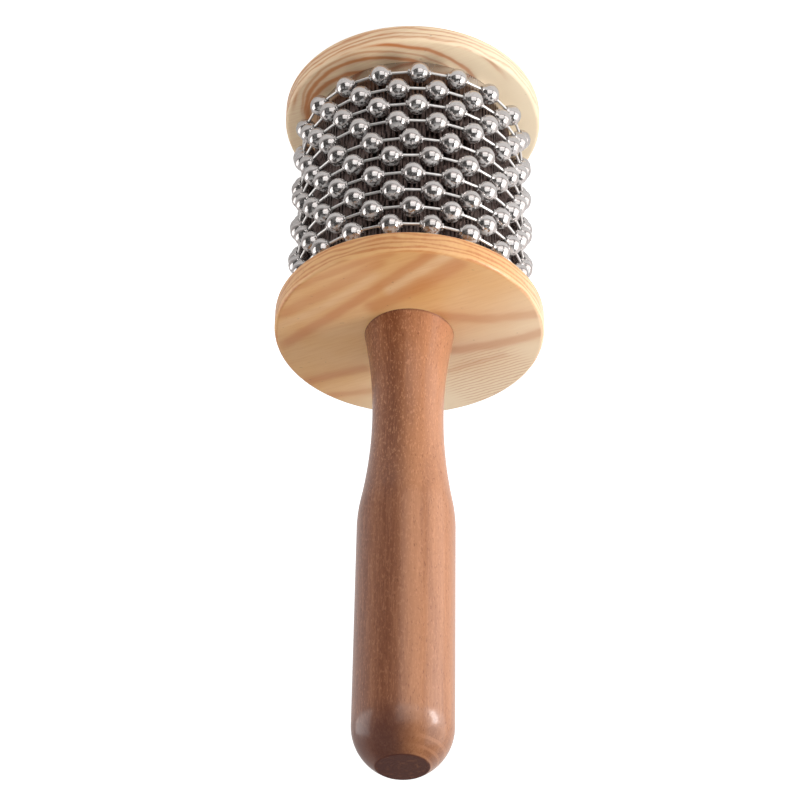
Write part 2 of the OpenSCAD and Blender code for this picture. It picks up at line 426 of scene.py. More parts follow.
# Where the look of the handle's joint and neck fades out, in mm from the front disc
JOINT_START, JOINT_END = 0.1, 0.8
NECK_START, NECK_END = 35, 70
# Where the look of its end, tool marks and flat fades in, in mm from the butt
END_START, END_FULL = 15, 5
MARKS_START, MARKS_FULL = 9, 3
FLAT_START, FLAT_FULL = 0.4, 0.1
# How far left of the middle the handle's dark band is, and how far it drifts, in mm
BAND_LEFT, BAND_DRIFT = 5.0, 5.0
# Spacing of the marks round the butt, in mm
MARK_SPACING = 1.7


def circle_through(first, second, third):
    """Centre and radius of the circle through three points."""
    a, b, c = (np.array(point, float) for point in (first, second, third))
    centre = np.linalg.solve(2 * np.array([b - a, c - a]), [b @ b - a @ a, c @ c - a @ a])
    return centre, np.hypot(*(a - centre))


def ring_mask(finish, place, rings):
    """How much late wood there is at a place, from 0 to 1."""
    mask = None
    for first, middle, last, width, dark in rings:
        centre, radius = circle_through(first, middle, last)
        reach = max(math.dist(middle, first), math.dist(middle, last))
        off = abs(finish.distance(place, centre) - radius)
        line = 1 - off.rise(0.3 * width, 1.2 * width)
        halo = 1 - off.rise(0, 2.6 * width)
        within = 1 - finish.distance(place, middle).rise(0.92 * reach, 1.2 * reach)
        line = (line * 0.6 + halo * 0.4) * within * dark
        mask = line if mask is None else mask.most(line)
    return mask


def pine(name, node, plain, rings, sapwood_and_light, sheen, pale=(), narrow=None, lean=0):
    """Pine board: growth rings on its faces, fine lines round its rim, and a thin varnish."""
    colours = settings().colours
    face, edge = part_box(node)[1].z / MM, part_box(node)[1].x / MM
    finish = Finish(name)
    place, (x, y, z) = finish.millimetres()
    wander = finish.noise(place, scale=0.09, detail=1.0) - 0.5
    ripple = finish.noise(place, scale=0.35, stretch=(2.4, 1, 1)) - 0.5
    across = -x + WANDER_ACROSS * wander
    up = -y + lean * (face - z) + WANDER_UP * wander + RIPPLE * ripple
    board = finish.combine(across, up)
    late = ring_mask(finish, board, rings)
    # Fibres run along the rings, from the lower left to the upper right
    along = finish.combine(across * 0.7 + up * 0.5, up * 1.1 - across * 0.55, z)
    fine = finish.noise(along, scale=1.1, stretch=(9, 1, 1.6), detail=3.0, roughness=0.6)
    fibres = fine.rise(0.35, 0.75)
    rim = finish.length(x, y).rise(edge - RIM_START, edge - RIM_END)
    sway = finish.noise(finish.combine(x * 0.08, y * 0.08, z * 0.4), 1.0, detail=1.0)
    layers = ((z + 2.6 * sway) * (math.tau / RIM_LINES)).sine()
    lines = rim * layers.rise(-0.5, 0.9) * (0.7 + 0.3 * fibres)
    ring = (late * (1 - 0.8 * rim)).most(lines * 0.85)
    colour = finish.mix(ring, plain, colours.pine_ring)
    if pale:
        bands = ring_mask(finish, board, pale) * (1 - rim)
        colour = finish.mix(bands * 0.5, colour, colours.pine_pale)
    # Paler towards one side of the board: partly pale wood, partly painted light where the key lamp
    # falls
    side = across * sapwood_and_light.towards[0] + up * sapwood_and_light.towards[1]
    sap_and_light = side.rise(sapwood_and_light.start, sapwood_and_light.end) * sapwood_and_light.strength
    cloud = finish.noise(place, scale=0.06).rise(0.3, 0.7)
    colour = finish.layered(
        colour,
        (fibres * 0.22, colours.pine_ring),
        ((sap_and_light + cloud * 0.1) * (1 - 0.6 * ring), colours.pine_pale),
    )
    if narrow:
        near = finish.distance(board, narrow.middle).rise(0.6 * narrow.reach, narrow.reach)
        stripes = ((up - across * narrow.slope) * (math.tau / narrow.spacing)).sine()
        stripes = stripes.rise(0.1, 0.95) * (1 - near) * (1 - rim)
        colour = finish.mix(stripes * 0.45, colour, colours.pine_ring)
    pores = finish.noise(place, scale=1.2, stretch=(1.6, 1, 1), detail=0.0).rise(0.83, 0.86)
    return finish.surface(
        Base_Color=finish.mix(pores * 0.3, colour, colours.hardwood_dark),
        Roughness=0.42 + 0.12 * fine,
        Coat_Weight=sheen,
        Coat_Roughness=0.22,
        Normal=finish.bump(fine * 0.5 - late * 0.6 - pores, depth=0.05 * MM, strength=0.5),
    )


def front_pine():
    """The front disc's board, pale towards its upper right: partly pale wood, partly painted light
    where the key lamp falls.
    """
    return pine(
        "front_pine", "front_disc", settings().colours.pine, FRONT_RINGS, pale=FRONT_PALE,
        sapwood_and_light=SapwoodAndLight(towards=(0.75, -0.65), start=-6, end=34, strength=0.75),
        narrow=NarrowRings(middle=(24, -19), reach=17, slope=0.5, spacing=1.34), sheen=0.35,
    )


def rear_pine():
    """The rear disc's board. Its rings lean through the thickness, so that the rim shows them."""
    return pine(
        "rear_pine", "rear_disc", settings().colours.rear_pine, REAR_RINGS, lean=1.38,
        # Paler towards the right: partly pale wood, partly painted light from the key lamp on that
        # side
        sapwood_and_light=SapwoodAndLight(towards=(1.0, 0.2), start=-4, end=36, strength=0.9), sheen=0.2,
    )


def hardwood():
    """Lacquered hardwood: drifting dark bands, straight fibres and short pores along the handle."""
    colours = settings().colours
    finish = Finish("handle_hardwood")
    place, (x, y, z) = finish.millimetres()
    foot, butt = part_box("front_disc")[1].z / MM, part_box("handle")[1].z / MM
    drift = finish.noise(place, scale=0.12, stretch=(1, 1, 9)) - 0.5
    across = -x + BAND_DRIFT * drift
    # A dark band left of the middle, painted shade on the left side away from the key lamp, and
    # slow streaks
    band = (1 - abs(across + BAND_LEFT).rise(0.5, 8)) * 0.8
    left = (-across).rise(2.0, 11.0) * 0.85
    streaks = finish.noise(place, scale=0.22, stretch=(1, 1, 14), detail=3.0).rise(0.35, 0.7) * 0.4
    fibre = finish.noise(place, scale=1.6, stretch=(1, 1, 18), detail=4.0, roughness=0.65)
    pore = finish.noise(place, scale=2.6, stretch=(1, 1, 3.6)).rise(0.6, 0.72)
    elsewhere = finish.vector("ADD", place, (31, 17, 5))
    fleck = finish.noise(elsewhere, scale=2.4, stretch=(1, 1, 2.6)).rise(0.53, 0.67)
    # Shares of places along the handle: neck, joint with the disc, rounded end and its flat
    neck = 1 - z.rise(foot + NECK_START, foot + NECK_END)
    joint = 1 - z.rise(foot + JOINT_START, foot + JOINT_END)
    # The butt darkens towards its end, more on the left: partly end grain, partly painted shade
    # away from the key lamp
    end = z.rise(butt - END_START, butt - END_FULL) * (0.1 + 0.6 * (-across).rise(-5, 4))
    flat = z.rise(butt - FLAT_START, butt - FLAT_FULL)
    marks = (finish.length(x, y) * (math.tau / MARK_SPACING)).sine().rise(0.2, 0.9)
    marks = marks * z.rise(butt - MARKS_START, butt - MARKS_FULL)
    blotch = finish.noise(place, scale=0.7).rise(0.5, 0.75)
    colour = finish.layered(
        colours.hardwood,
        (band.most(left).most(streaks), colours.hardwood_dark),
        (fibre.rise(0.42, 0.72) * 0.2, colours.hardwood_light),
        # Painted light: the neck lighter on its right side, towards the key lamp
        (neck * across.rise(1, 8) * 0.4, colours.hardwood_light),
        (pore * 0.55, colours.hardwood_dark),
        (fleck * (0.2 + 0.22 * neck), colours.hardwood_light),
        # Tool rings, real, but lightened only on the right side: partly painted light from the key
        # lamp
        (marks * across.rise(0, 6) * 0.35, colours.hardwood_light),
        (joint * 0.5, colours.end_grain_and_shade),
        (end.most(flat * (0.92 - 0.25 * blotch)), colours.end_grain_and_shade),
    )
    return finish.surface(
        Base_Color=colour,
        Roughness=0.42 + 0.14 * fibre + 0.15 * pore + 0.3 * flat,
        Coat_Weight=0.62 - 0.55 * flat,
        Coat_Roughness=0.2,
        Normal=finish.bump(fibre * 0.4 - pore - fleck * 0.3, depth=0.04 * MM, strength=0.45),
    )


def core_wood():
    """Plain turned wood of the core."""
    colours = settings().colours
    finish = Finish("core_wood")
    place, _ = finish.millimetres()
    grain = finish.noise(place, scale=0.8, stretch=(1, 1, 14), detail=3.0)
    return finish.surface(
        Base_Color=finish.mix(grain.rise(0.35, 0.7), colours.core, colours.hardwood_dark),
        Roughness=0.65 + 0.1 * grain,
    )


# Metal finishes

# The sleeve is bright this near to a disc, and dark with painted shade from the chain past the
# second distance, in mm
BARE_WHOLE, BARE_GONE = 3, 5


def plating():
    """Bright nickel plating: each ball with its own tone, a haze of handling, and a pale film on
    top, partly real dusting and partly painted reflection.
    """
    colours = settings().colours
    finish = Finish("nickel_plating")
    place, _ = finish.millimetres()
    haze = finish.noise(place, scale=0.5, detail=3.0)
    pits = finish.noise(place, scale=5.0, detail=1.0).rise(0.7, 0.8)
    dull = finish.attribute("tone") * 0.5 + haze.rise(0.5, 0.8) * 0.3
    bright = finish.principled(
        Base_Color=finish.mix(dull, colours.plating, darker(colours.plating, (0.78, 0.76, 0.74))),
        Metallic=1.0,
        Roughness=0.09 + 0.08 * haze + 0.1 * pits,
        Normal=finish.bump(haze - 0.4 * pits, depth=0.02 * MM, strength=0.3),
    )
    dust_and_sheen = finish.principled(Base_Color=colours.dust_and_sheen, Roughness=0.55)
    # A pale film, most on upturned sides: partly real dust, partly painted reflection of the
    # neighbouring balls
    smudge = finish.noise(place, scale=0.95, detail=1.0).rise(0.46, 0.58)
    settled_dust_and_sheen = finish.attribute("facing_up").rise(0.6, 0.95) * (0.04 + 0.5 * smudge)
    dust_and_sheen_share = 0.05 + 0.1 * smudge + settled_dust_and_sheen
    return finish.show(finish.node("ShaderNodeMixShader", None, {0: dust_and_sheen_share, 1: bright, 2: dust_and_sheen}))


def link_wire():
    """Drawn wire of the links: like the plating, brighter and drawn smooth."""
    colours = settings().colours
    finish = Finish("link_wire")
    place, _ = finish.millimetres()
    haze = finish.noise(place, scale=1.2)
    return finish.surface(
        Base_Color=finish.mix(haze * 0.3, colours.wire, colours.plating),
        Metallic=0.72,
        Roughness=0.26 + 0.1 * haze,
    )


def sleeve_steel():
    """Rolled sheet, scuffed lengthwise, with painted shade under the chain, and bright beside the
    discs.
    """
    colours = settings().colours
    finish = Finish("sleeve_steel")
    place, (_, _, z) = finish.millimetres()
    start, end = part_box("rear_disc")[1].z / MM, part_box("front_disc")[0].z / MM
    # Painted shade: darker where the chain lies over the sleeve, full plating beside the discs
    shade_under_chain = z.rise(start + BARE_WHOLE, start + BARE_GONE)
    clear_of_chain_shade = (1 - shade_under_chain).most(z.rise(end - BARE_GONE, end - BARE_WHOLE))
    scuff = finish.noise(place, scale=2.4, stretch=(1, 1, 12), detail=3.0)
    worn = finish.noise(place, scale=0.15).rise(0.4, 0.7)
    colour = finish.layered(
        darker(colours.steel, (0.7, 0.67, 0.65)),
        (scuff.rise(0.35, 0.7), colours.steel),
        (clear_of_chain_shade, colours.plating),
    )
    return finish.surface(
        Base_Color=colour,
        Metallic=1.0,
        Roughness=0.18 + 0.1 * scuff + 0.06 * worn,
        Normal=finish.bump(scuff, depth=0.02 * MM, strength=0.4),
    )


def fastener_steel():
    """Zinc plating with a little tarnish."""
    zinc = settings().colours.fastener
    finish = Finish("fastener_steel")
    place, _ = finish.millimetres()
    tarnish = finish.noise(place, scale=0.7, detail=3.0)
    return finish.surface(
        Base_Color=finish.mix(tarnish.rise(0.4, 0.7), zinc, darker(zinc, (0.7, 0.68, 0.62))),
        Metallic=1.0,
        Roughness=0.26 + 0.2 * tarnish,
        Normal=finish.bump(tarnish, depth=0.03 * MM, strength=0.3),
    )


# Turned shapes

def arc(centre, radius, start, end, steps):
    """Points along an arc, its angles in degrees."""
    angles = np.radians(np.linspace(start, end, steps + 1))
    return [(centre[0] + radius * math.cos(a), centre[1] + radius * math.sin(a)) for a in angles]


def levels_of(node):
    """The heights of a turned node's corners, each with the radii that it has there."""
    corners = np.array([vertex.co for vertex in frame["nodes"][node].data.vertices])
    found = []
    for radius, z in sorted(zip(np.hypot(corners[:, 0], corners[:, 1]), corners[:, 2]),
                            key=lambda corner: corner[1]):
        if not found or z - found[-1][0] > SAME_LEVEL:
            found.append((float(z), []))
        if not any(abs(radius - r) < SAME_LEVEL for r in found[-1][1]):
            found[-1][1].append(float(radius))
    return [(z, sorted(radii)) for z, radii in found]


def flowing(points, steps):
    """A curve through (radius, height) points without overshoot, steps to each stretch."""
    radii, heights = (np.array(values) for values in zip(*points))
    gaps = np.diff(heights)
    slopes = np.diff(radii) / gaps
    tangents = np.concatenate([slopes[:1], np.zeros(len(gaps) - 1), slopes[-1:]])
    for k in range(1, len(gaps)):
        before, after = slopes[k - 1], slopes[k]
        if before * after > 0:
            near, far = 2 * gaps[k] + gaps[k - 1], gaps[k] + 2 * gaps[k - 1]
            tangents[k] = (near + far) / (near / before + far / after)
    out = []
    for k, gap in enumerate(gaps):
        for t in np.arange(steps) / steps:
            start = (1 + 2 * t) * (1 - t) ** 2 * radii[k] + t * (1 - t) ** 2 * gap * tangents[k]
            end = t * t * (3 - 2 * t) * radii[k + 1] + t * t * (t - 1) * gap * tangents[k + 1]
            out.append((start + end, heights[k] + t * gap))
    return out + [points[-1]]


def shade(mesh):
    """Smooth shading, but for the sharp edges."""
    mesh.shade_smooth()
    mesh.set_sharp_from_angle(angle=SMOOTH_BELOW)


def new_piece(name, vertices, faces, material):
    """A shaded mesh object at the origin."""
    mesh = bpy.data.meshes.new(name)
    mesh.from_pydata(vertices, [], faces)
    mesh.materials.append(material)
    shade(mesh)
    return place_piece(name, mesh)


def place_piece(name, mesh):
    """An object of this mesh in the scene."""
    piece = bpy.data.objects.new(name, mesh)
    bpy.context.scene.collection.objects.link(piece)
    return piece


def made_real(piece):
    """The mesh that a piece's modifiers make of it."""
    graph = bpy.context.evaluated_depsgraph_get()
    return bpy.data.meshes.new_from_object(piece.evaluated_get(graph), depsgraph=graph,
                                           preserve_all_data_layers=True)


def turned(name, outline, segments, material, closed=False):
    """A solid of revolution. Its outline runs up the outside; a point on the axis is a pole."""
    turns = np.arange(segments) * math.tau / segments
    vertices, rings = [], []
    for radius, height in outline:
        around = [0.0] if radius < ON_AXIS else turns
        rings.append(range(len(vertices), len(vertices) + len(around)))
        vertices += [(radius * math.cos(a), radius * math.sin(a), height) for a in around]
    faces = []
    above = rings[1:] + rings[:1] if closed else rings[1:]
    for low, high in zip(rings, above):
        for here in range(segments):
            there = (here + 1) % segments
            # A pole stands for all the corners of its ring
            corners = (low[here % len(low)], low[there % len(low)],
                       high[there % len(high)], high[here % len(high)])
            corners = tuple(dict.fromkeys(corners))
            if len(corners) > 2:
                faces.append(corners)
    return new_piece(name, vertices, faces, material)


def bored_steps(levels, outer):
    """The stepped hole through a disc, from its top face down to its bottom face."""
    inner = [(z, [r for r in radii if r < HOLE_SHARE * outer]) for z, radii in levels]
    inner = [(z, radii) for z, radii in inner if radii]
    radius = inner[-1][1][0]
    points = [(radius, inner[-1][0])]
    for z, radii in reversed(inner[:-1]):
        points.append((radius, z))
        for other in radii:
            if abs(other - radius) > SAME_LEVEL:
                points.append((other, z))
                radius = other
                break
    return points


def turned_disc(node, name, material):
    """A disc with rounded edges and the stepped hole that its CAD node has."""
    turning = settings().turning
    levels = levels_of(node)
    low, high = levels[0][0], levels[-1][0]
    outer = max(radii[-1] for _, radii in levels)
    under, over = outer - levels[0][1][-1], outer - levels[-1][1][-1]
    outline = (
        arc((outer - under, low + under), under, -90, 0, turning.edge_steps)
        + arc((outer - over, high - over), over, 0, 90, turning.edge_steps)
        + bored_steps(levels, outer)
    )
    return turned(name, outline, turning.segments, material, closed=True)


def ringed_flat(radius, height, pitch, depth):
    """A flat end from its edge to near its middle, with the tool's shallow rings on it."""
    radii = np.arange(radius - pitch / 4, 0, -pitch / 4)
    return [(r, height - depth * math.sin((radius - r) / pitch * math.pi) ** 2) for r in radii]


def handle_outline():
    """The handle's section: tenon and its bore, the flowing outside, and the butt's tool rings."""
    turning = settings().turning
    levels = levels_of("handle")
    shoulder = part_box("front_disc")[1].z
    start, bore = levels[0][0], levels[0][1][0]
    bore_top = max(z for z, radii in levels if any(abs(r - bore) < SAME_LEVEL for r in radii))
    walls = [(radii[-1], z) for z, radii in levels if radii[-1] > 2 * bore]
    tenon = [(radius, z) for radius, z in walls if z < shoulder - SAME_LEVEL]
    outside = walls[len(tenon):]
    flat, butt = outside[-1]
    return (
        [(0, bore_top), (bore, bore_top), (bore, start)]
        + tenon + [(tenon[-1][0], shoulder)]
        + flowing(outside, turning.bend_steps)
        + ringed_flat(flat, butt, turning.ring_pitch, turning.ring_depth) + [(0, butt)]
    )


# Chain

# Steps of a ball's outside, its collar and its hollow, and of a link's head
BALL_STEPS, COLLAR_STEPS, HOLLOW_STEPS, HEAD_STEPS = 6, 4, 3, 5
# Where the collar's bead leaves the ball, in degrees round the bead
BEAD_START = -25
# What the chain's geometry nodes are given
STRING_INPUTS = {
    "Geometry": "Geometry", "Piece": "Object", "Finish": "Material", "Copies": "Int",
    "First": "Float", "Spacing": "Float", "Turn": "Float", "Radius": "Float",
    "Height": "Float", "Tilt": "Float", "Seed": "Int",
}
# A kind of piece in a loop: the pattern that is copied, how many copies, how many ball spacings
# the first is past the closing ball, the loop's radius, the largest lean, the finish and its slot
Kind = namedtuple("Kind", "pattern copies first radius tilt finish slot")
CUBE_FACES = [(0, 1, 3, 2), (4, 6, 7, 5), (0, 4, 5, 1), (2, 3, 7, 6), (0, 2, 6, 4), (1, 5, 7, 3)]


def half_ball(chain, ball, inner):
    """The upper half of a ball's shell, outside first: (radius, height) from the chain's axis."""
    hole = chain.wire / 2 + chain.play
    bead_x = hole + chain.collar - chain.bead
    bead_y = math.sqrt(ball ** 2 - bead_x ** 2) + chain.lift
    foot = math.degrees(math.acos((bead_x + chain.bead) / ball))
    lip = math.degrees(math.acos((hole - bead_x) / chain.bead))
    hole_end = math.degrees(math.acos(hole / inner))
    outside = arc((0, 0), ball, 0, foot, BALL_STEPS)
    collar = arc((bead_x, bead_y), chain.bead, BEAD_START, lip, COLLAR_STEPS)
    inside = arc((0, 0), inner, hole_end, 0, HOLLOW_STEPS)
    return outside + collar, inside


def flipped(points):
    """Points mirrored top to bottom, in the other order."""
    return [(radius, -height) for radius, height in reversed(points)]


def ball_outline(chain, ball):
    """A whole ball's closed outline."""
    outside, inside = half_ball(chain, ball, ball - chain.wall)
    return flipped(outside)[:-1] + outside + inside[:-1] + flipped(inside)


def link_outline(chain, half):
    """A link's outline, with an upset head at both ends of its wire."""
    head, wire = chain.head / 2, chain.wire / 2
    neck = math.degrees(math.acos(wire / head))
    knob = arc((0, half), head, -neck, 90, HEAD_STEPS)
    knob[-1] = (0, knob[-1][1])
    return flipped(knob) + [(wire, 0)] + knob


def link_line(chain, ball, ring, spacing):
    """Radius of a link's middle and half its length, between the facing holes of two balls."""
    cosine, sine = math.cos(spacing / 2), math.sin(spacing / 2)
    half = ring * sine - ball * cosine + chain.wall + chain.head_play + chain.head / 2
    return ring * cosine + ball * sine, half


def chain_kinds(chain, spacing):
    """The three kinds of piece that make up a loop, each with its pattern at the origin."""
    low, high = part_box("loop_01_balls")
    ball = (high.z - low.z) / 2
    reach = max(math.hypot(vertex.co.x, vertex.co.y)
                for vertex in frame["nodes"]["loop_01_balls"].data.vertices)
    ring = reach - ball
    link_ring, link_half = link_line(chain, ball, ring, spacing)
    plated, wire = plating(), link_wire()
    outline = ball_outline(chain, ball)
    plain_ball = turned("pattern_ball", outline, chain.segments, plated, closed=True)
    link = turned("pattern_link", link_outline(chain, link_half), chain.segments // 2, wire)
    closing = split_ball("pattern_closing", outline, chain.segments, plated, chain.slot, ball)
    return {
        "balls": Kind(plain_ball, copies=chain.balls - 1, first=1.0, radius=ring,
                      tilt=chain.tilt, finish=plated, slot="ball_plating"),
        "links": Kind(link, copies=chain.balls, first=0.5, radius=link_ring, tilt=0.0,
                      finish=wire, slot="link_wire"),
        "closing_ball": Kind(closing, copies=1, first=0.0, radius=ring, tilt=0.0,
                             finish=plated, slot="ball_plating"),
    }


def string_nodes():
    """Geometry nodes that string copies of a piece round the drum."""
    tree = bpy.data.node_groups.new("string_round_drum", "GeometryNodeTree")
    for name, kind in STRING_INPUTS.items():
        tree.interface.new_socket(name, in_out="INPUT", socket_type="NodeSocket" + kind)
    tree.interface.new_socket("Geometry", in_out="OUTPUT", socket_type="NodeSocketGeometry")
    graph = Graph(tree)
    inputs = graph.add("NodeGroupInput").outputs

    def given(name):
        return Term(graph, inputs[name])

    def random(low, high, seed_step):
        return graph.node(
            "FunctionNodeRandomValue", {"data_type": "FLOAT"},
            {"Min_001": low, "Max_001": high, "Seed": given("Seed") + seed_step}, "Value_001",
        )

    def noted(geometry, name, value):
        return graph.node("GeometryNodeStoreNamedAttribute",
                          {"data_type": "FLOAT", "domain": "POINT"},
                          {"Geometry": geometry, "Name": name, "Value": value})

    step = graph.node("GeometryNodeInputIndex") + given("First")
    angle = step * given("Spacing") + given("Turn")
    place = graph.combine(angle.cosine() * given("Radius"), angle.sine() * given("Radius"),
                          given("Height"))
    points = graph.node("GeometryNodePoints", None, {"Count": given("Copies"), "Position": place})
    points = noted(points, "tone", random(0.0, 1.0, 1))
    # The piece stands along Z: it is laid down, then turned along the loop, both with some lean
    lean = random(-given("Tilt"), given("Tilt"), 2) - math.pi / 2
    swing = random(-given("Tilt"), given("Tilt"), 3) + angle
    turn = graph.node("FunctionNodeEulerToRotation", None, {0: graph.combine(lean, z=swing)})
    piece = graph.node("GeometryNodeObjectInfo", {"transform_space": "ORIGINAL"},
                       {"Object": given("Piece")}, "Geometry")
    strung = graph.node("GeometryNodeInstanceOnPoints", None,
                        {"Points": points, "Instance": piece, "Rotation": turn})
    real = graph.node("GeometryNodeRealizeInstances", None, {"Geometry": strung})
    facing_up = graph.split(graph.node("GeometryNodeInputNormal"))[2]
    done = graph.node("GeometryNodeSetMaterial", None,
                      {"Geometry": noted(real, "facing_up", facing_up),
                       "Material": given("Finish")})
    graph.add("NodeGroupOutput", None, {0: done})
    return tree


def strung(name, tree, **values):
    """A plain mesh object made by the chain's geometry nodes."""
    piece = place_piece(name, bpy.data.meshes.new(name))
    modifier = piece.modifiers.new("string", "NODES")
    modifier.node_group = tree
    for socket in tree.interface.items_tree:
        if socket.in_out == "INPUT" and socket.name in values:
            modifier[socket.identifier] = values[socket.name]
    mesh = made_real(piece)
    piece.modifiers.remove(modifier)
    piece.data = mesh
    return piece


def split_ball(name, outline, segments, material, slot, ball):
    """The closing ball: a ball cut from hole to hole by its slot."""
    piece = turned(name, outline, segments, material, closed=True)
    corners = [(x, y, z) for x in (0, 2 * ball) for y in (-slot / 2, slot / 2)
               for z in (-2 * ball, 2 * ball)]
    cutter = new_piece(name + "_slot", corners, CUBE_FACES, material)
    cut = piece.modifiers.new("slot", "BOOLEAN")
    cut.operation, cut.solver, cut.object = "DIFFERENCE", "EXACT", cutter
    mesh = made_real(piece)
    piece.modifiers.remove(cut)
    piece.data = mesh
    shade(mesh)
    bpy.data.objects.remove(cutter)
    return piece


# Operators

def dress(node, material, slot):
    """Give a CAD node its finish."""
    piece = frame["nodes"][node]
    piece.data.materials.clear()
    piece.data.materials.append(material)


class CABASA_OT_handle(bpy.types.Operator):
    """Turn the hardwood handle with its tenon"""

    bl_idname = "cabasa.turn_handle"
    bl_label = "Turn handle"

    def execute(self, context):
        piece = turned("turned_handle", handle_outline(), settings().turning.segments, hardwood())
        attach(piece, DRUM_BODY)
        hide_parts("handle")
        return {"FINISHED"}


class CABASA_OT_discs(bpy.types.Operator):
    """Turn the two pine discs"""

    bl_idname = "cabasa.turn_discs"
    bl_label = "Turn discs"

    def execute(self, context):
        for node, material in (("front_disc", front_pine()), ("rear_disc", rear_pine())):
            piece = turned_disc(node, "turned_" + node, material)
            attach(piece, DRUM_BODY)
            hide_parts(node)
        return {"FINISHED"}


class CABASA_OT_drum(bpy.types.Operator):
    """Finish the drum's core, sleeve and nails"""

    bl_idname = "cabasa.finish_drum"
    bl_label = "Finish drum"

    def execute(self, context):
        for node, material, slot in (
            ("drum_core", core_wood(), "core_wood"),
            ("drum_sleeve", sleeve_steel(), "sleeve_steel"),
            ("sleeve_nails", fastener_steel(), "fastener_steel"),
        ):
            dress(node, material, slot)
        return {"FINISHED"}


class CABASA_OT_fastening(bpy.types.Operator):
    """Finish the long screw and its cup washer"""

    bl_idname = "cabasa.finish_fastening"
    bl_label = "Finish fastening"

    def execute(self, context):
        material = fastener_steel()
        for node in ("handle_screw", "screw_cup"):
            dress(node, material, "fastener_steel")
        return {"FINISHED"}


class CABASA_OT_chain(bpy.types.Operator):
    """String the ten loops of ball chain round the drum"""

    bl_idname = "cabasa.string_chain"
    bl_label = "String chain"

    def execute(self, context):
        chain = settings().chain
        spacing = math.tau / chain.balls
        kinds = chain_kinds(chain, spacing)
        tree = string_nodes()
        for body in LOOP_BODIES:
            number = body[-2:]
            low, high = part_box(f"loop_{number}_closing_ball")
            middle = (low + high) / 2
            for kind, (pattern, copies, first, radius, tilt, finish, slot) in kinds.items():
                piece = strung(
                    f"chain_{number}_{kind}", tree, Piece=pattern, Finish=finish,
                    Copies=copies, First=first, Spacing=spacing, Radius=radius,
                    Turn=math.atan2(middle.y, middle.x), Height=middle.z, Tilt=tilt,
                    Seed=chain.seed + SEED_STEP * int(number),
                )
                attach(piece, body)
                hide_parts(f"loop_{number}_{kind}")
        for made in kinds.values():
            bpy.data.objects.remove(made.pattern)
        return {"FINISHED"}


class CABASA_OT_stage(bpy.types.Operator):
    """Set up the camera, the lamps, the floor and the tent"""

    bl_idname = "cabasa.set_stage"
    bl_label = "Set stage"

    def execute(self, context):
        studio = settings().studio
        place_camera(studio)
        light_lamps(studio)
        lay_floor(studio)
        pitch_tent(studio)
        light_world(studio)
        context.scene.view_settings.view_transform = "Standard"
        return {"FINISHED"}


# Stage

SENSOR_WIDTH = 36
# What the lamps are aimed at, and the floor's half width and depth under the part, in mm
LAMP_AIM = (0, 0, 60)
FLOOR_REACH, FLOOR_DEPTH = 3000, 0.02
FLOOR_PAINT = (0.8, 0.8, 0.8)
# The tent's cloth fades in between these heights over the floor, in mm
CLOTH_START, CLOTH_END = 5, 30
TENT_TINT, TENT_GLOW = (1, 0.94, 0.92), 0.04
# Height of the tent's skirt over the floor, and steps from its foot to its top
TENT_LIFT, TENT_STEPS = 1 * MM, 16
# Distances from the middle between which the lit floor before a lamp fades in, in mm
POOL_START, POOL_END = 140, 170
POOL_GLOW = 0.9


def place_camera(studio):
    """The photograph's camera: above the handle's end, with the picture turned upside down."""
    data = bpy.data.cameras.new("camera")
    data.lens = studio.lens
    data.sensor_width = SENSOR_WIDTH
    camera = bpy.data.objects.new("camera", data)
    forward = Vector((math.cos(studio.elevation) * math.sin(studio.azimuth),
                      math.cos(studio.elevation) * math.cos(studio.azimuth),
                      -math.sin(studio.elevation)))
    camera.location = Vector(studio.aim) - forward * studio.distance
    camera.rotation_mode = "QUATERNION"
    camera.rotation_quaternion = (forward.to_track_quat("-Z", "Y")
                                  @ Quaternion((0, 0, 1), -studio.roll))
    bpy.context.scene.collection.objects.link(camera)
    bpy.context.scene.camera = camera


def light_lamps(studio):
    """Four softboxes and a bulb: place and size in mm, glow, and whether reflections see it."""
    upright = Vector((0, -math.sin(studio.elevation), -math.cos(studio.elevation)))
    for name, place, size, glow, mirrored in (
        ("key_lamp", (-425, -105, 165), (430, 600), studio.key, True),
        ("key_bulb", (-205, -85, 170), (62, 98), studio.bulb, True),
        ("side_lamp", (470, 50, 70), (420, 380), studio.side, True),
        ("front_lamp", (-100, -505, 125), (480, 430), studio.front, True),
        ("top_lamp", (210, -90, 450), (320, 320), studio.top, False),
    ):
        lamp = soft_lamp(name, Vector(place) * MM, Vector(size) * MM, glow, upright)
        lamp.visible_glossy = mirrored


def soft_lamp(name, place, size, glow, upright):
    """A softbox aimed at the part that glows by this much, where 1 is white."""
    data = bpy.data.lights.new(name, "AREA")
    data.shape = "RECTANGLE"
    data.size, data.size_y = size
    data.energy = glow * math.pi * data.size * data.size_y
    lamp = bpy.data.objects.new(name, data)
    lamp.location = place
    back = (lamp.location - Vector(LAMP_AIM) * MM).normalized()
    side = upright.cross(back).normalized()
    lamp.rotation_mode = "QUATERNION"
    lamp.rotation_quaternion = Matrix((side, back.cross(side), back)).transposed().to_quaternion()
    lamp.visible_camera = False
    bpy.context.scene.collection.objects.link(lamp)
    return lamp


def lay_floor(studio):
    """A white floor that keeps the shadow and shows as plain white where there is none."""
    finish = Finish("white_floor")
    paint = finish.node("ShaderNodeBsdfDiffuse", None, {"Color": FLOOR_PAINT})
    seen = (studio.floor_glow * finish.ray_is("Camera", "Transmission")
            + studio.floor_gleam * finish.ray_is("Glossy"))
    glow = finish.node("ShaderNodeEmission", None, {"Color": (1, 1, 1), "Strength": seen})
    finish.show(finish.node("ShaderNodeAddShader", None, {0: paint, 1: glow}))
    corners = [(x * FLOOR_REACH * MM, y * FLOOR_REACH * MM, -FLOOR_DEPTH * MM)
               for x, y in ((-1, -1), (1, -1), (1, 1), (-1, 1))]
    floor = new_piece("floor", corners, [(0, 1, 2, 3)], finish.material)


